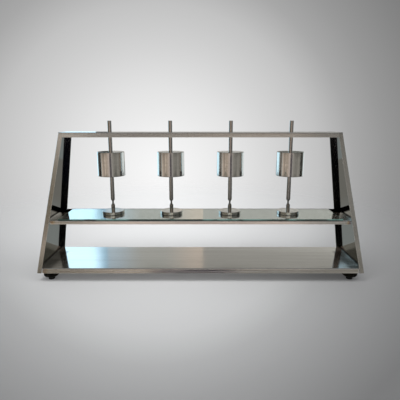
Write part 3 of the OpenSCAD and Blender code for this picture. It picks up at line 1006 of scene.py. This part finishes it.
def stand_card(name, place, rotation, width, height, colour, other, look):
    """A card that only reflections and glass see."""
    deselect()
    bpy.ops.mesh.primitive_plane_add(size=1.0, location=place, rotation=rotation)
    card = bpy.context.object
    card.name = card.data.name = name
    card.scale = (width, height, 1)
    card.data.materials.append(card_paint(name, colour, other, **look))
    card.visible_camera = card.visible_diffuse = card.visible_shadow = card.visible_volume_scatter = False


def wall_card(name, from_turn, to_turn, low, high, colour, other=None, **look):
    """An upright card between two directions, in degrees from the back (+Y) towards the right (+X)."""
    middle, half = math.radians((from_turn + to_turn) / 2), math.radians((to_turn - from_turn) / 2)
    far = room_r * math.cos(half)
    place = (far * math.sin(middle), far * math.cos(middle), (low + high) / 2)
    stand_card(name, place, (math.radians(90), 0, -middle), 2 * room_r * math.sin(half), high - low, colour,
               other, look)


def bench_card(name, x_from, x_to, y_from, y_to, height, colour, other=None, **look):
    """A card that lies flat at a height."""
    place = ((x_from + x_to) / 2, (y_from + y_to) / 2, height)
    stand_card(name, place, (0, 0, 0), x_to - x_from, y_to - y_from, colour, other, look)


print("cards stand", room_r, "m away and reach down to", deep, "m")

# %% Cards behind the stand
# From left to right. The glass and the shelf mirror the middle part, which is brighter by the gain, and the
# base plate mirrors the high part
rail_low, rail_high, middle_low, high_low, high_top = 0.50, 0.61, 0.64, 0.83, 1.13
behind = [
    ("window", -63, -18.2, (1.02, 1.48, 1.78), (0.36, 0.56, 0.72), (0.925, 1.0), 1.05),
    ("cool_wall", -18.2, -9, (0.46, 0.56, 0.63), (0.425, 0.43, 0.405), (0.0, 0.8), 1.36),
    ("warm_wall", -9, 0.5, (0.425, 0.43, 0.405), (0.58, 0.51, 0.44), (0.1, 1.0), 1.36),
    ("grey_wall", 0.5, 27, (0.352, 0.348, 0.325), (0.348, 0.344, 0.32), (0.0, 1.0), 1.565),
    ("far_right", 27, 63, (0.38, 0.38, 0.35), (0.30, 0.30, 0.28), (0.0, 1.0), 1.36),
]
for name, from_turn, to_turn, left, right, change, gain in behind:
    look = {"change": change, "across": True}
    wall_card(f"{name}_high", from_turn, to_turn, high_low, high_top, left, right, **look)
    left, right = shade(left, gain), shade(right, gain)
    wall_card(f"{name}_middle", from_turn, to_turn, middle_low, high_low, left, right, **look)
print("parts of the wall behind:", len(behind))

# %% Low cards, rails and corners behind the stand
# The beam's top and the weights' tops mirror the low part
wall_card("window_low", -63, -18.2, deep, rail_low, (1.05, 1.50, 1.75))
wall_card("plain_low", -18.2, 13, deep, rail_low, (0.55, 0.54, 0.51))
wall_card("plain_low_right", 13, 27, deep, 0.38, (0.66, 0.65, 0.62))
wall_card("pale_low", 27, 63, deep, rail_low, (0.95, 1.05, 1.08))

# Dark rails part the low cards from the middle ones, and two darker pieces stand in the low part
RAIL = (0.05, 0.05, 0.04)
wall_card("rail_left", -63, -15, rail_low, rail_high, RAIL)
wall_card("rail_middle", -15, 15, rail_low, middle_low, RAIL)
wall_card("rail_right", 15, 63, rail_low, rail_high, RAIL)
wall_card("rail_low_left", -27, -13, 0.10, rail_low, RAIL)
wall_card("rail_low_right", 13, 27, 0.38, rail_low, (0.14, 0.145, 0.13))

# A dark ceiling above them, and dark corners at both sides
for name, from_turn, to_turn in (("left", -60, -20), ("middle", -20, 20), ("right", 20, 60)):
    wall_card(f"ceiling_{name}", from_turn, to_turn, 1.05, 2.2, (0.115, 0.115, 0.095))
wall_card("dark_corner_left", -84, -63, deep, 1.6, (0.07, 0.065, 0.06))
wall_card("dark_corner_right", 63, 84, deep, 1.6, (0.06, 0.06, 0.06))
print("the low part behind reaches from", deep, "to", rail_low, "m")

# %% Cards in front of the stand
# Warm at the left and grey at the right. The weights mirror the low part, which is brighter, and the lower
# ends of the folded edges mirror the darker belt above it
belt_low, belt_high, wall_top = 0.09, 0.16, 1.06
wall_card("dark_edge_left", -97, -84, deep, belt_low, (0.10, 0.09, 0.08))
wall_card("bright_strip_left", -106, -97, deep, belt_low, (0.60, 0.60, 0.57))
wall_card("warm_front_low", -160, -106, deep, belt_low, (0.93, 0.79, 0.67), stripes=0.85, stripe_width=7.0)
wall_card("warm_front_middle", -160, -84, belt_low, belt_high, (0.20, 0.175, 0.15), stripes=0.5,
          stripe_width=9.0)
wall_card("warm_front_high", -160, -84, belt_high, wall_top, (0.21, 0.185, 0.14), (0.72, 0.66, 0.60),
          change=(0.3, 1.0))
wall_card("grey_front_low", 84, 160, deep, belt_low, (0.38, 0.37, 0.34), stripes=0.4, stripe_width=7.0)
wall_card("grey_front_middle", 84, 160, belt_low, belt_high, (0.09, 0.09, 0.085))
wall_card("grey_front_high", 84, 160, belt_high, wall_top, (0.25, 0.25, 0.235), (0.20, 0.195, 0.18))

# Round the camera: dark low in the middle and dark high up. The pale belt brightens the rims of the discs,
# which mirror it by way of the glass
near_top, dim_low, pale_low, pale_high = 0.13, 0.50, 0.64, 0.80
wall_card("warm_near", -174, -160, deep, near_top, (0.66, 0.58, 0.53))
wall_card("grey_near", 160, 170, deep, near_top, (0.42, 0.41, 0.39))
wall_card("camera_low", 170, 186, deep, near_top, (0.13, 0.12, 0.13))
wall_card("camera_middle", 160, 200, near_top, dim_low, (0.76, 0.63, 0.55))
for name, low, high, left, right in (
    ("camera_high", dim_low, pale_low, (0.46, 0.39, 0.33), (0.24, 0.22, 0.20)),
    ("camera_pale", pale_low, pale_high, (0.92, 0.86, 0.78), (0.80, 0.80, 0.76)),
    ("camera_top", pale_high, wall_top, (0.46, 0.39, 0.33), (0.24, 0.22, 0.20)),
):
    wall_card(name, 160, 200, low, high, left, right, across=True)
for name, from_turn, to_turn in (("left", -160, -120), ("middle", 160, 200), ("right", 120, 160)):
    wall_card(f"dark_above_{name}", from_turn, to_turn, wall_top, 2.5, (0.006, 0.006, 0.008))
print("walls in front reach from", deep, "to", wall_top, "m")

# %% Cards on the bench
on_bench, over_bench, under_base = 0.6 * MM, 1.0 * MM, 26.5 * MM
bench_card("bench_front_left", -0.42, -0.10, -0.60, -0.12, on_bench, (0.14, 0.125, 0.095), (0.42, 0.36, 0.29),
           change=(0.15, 0.75), across=True)
bench_card("bench_front_navy", -0.12, 0.086, -0.60, -0.12, over_bench, (0.02, 0.02, 0.035))
bench_card("bench_front_right", 0.08, 0.42, -0.60, -0.12, on_bench, (0.30, 0.285, 0.255), stripes=0.3,
           stripe_width=6.0)
bench_card("black_card_left", -0.30, -0.11, -0.75, -0.11, under_base, (0.003, 0.004, 0.014))
bench_card("black_card_right", 0.11, 0.30, -0.75, -0.11, under_base, (0.003, 0.003, 0.005))
bench_card("bench_side_left", -1.1, -0.42, -1.25, -0.20, on_bench, (0.22, 0.21, 0.175))
bench_card("bench_side_right", 0.42, 1.1, -1.25, -0.20, on_bench, (0.17, 0.17, 0.155))
bench_card("bench_behind", -1.1, 1.1, 0.10, 1.1, on_bench, (0.23, 0.255, 0.25), (0.18, 0.18, 0.165),
           change=(0.1, 0.45))
bench_card("bench_behind_far", -0.5, 0.5, 1.1, 2.2, on_bench, (0.22, 0.25, 0.25))
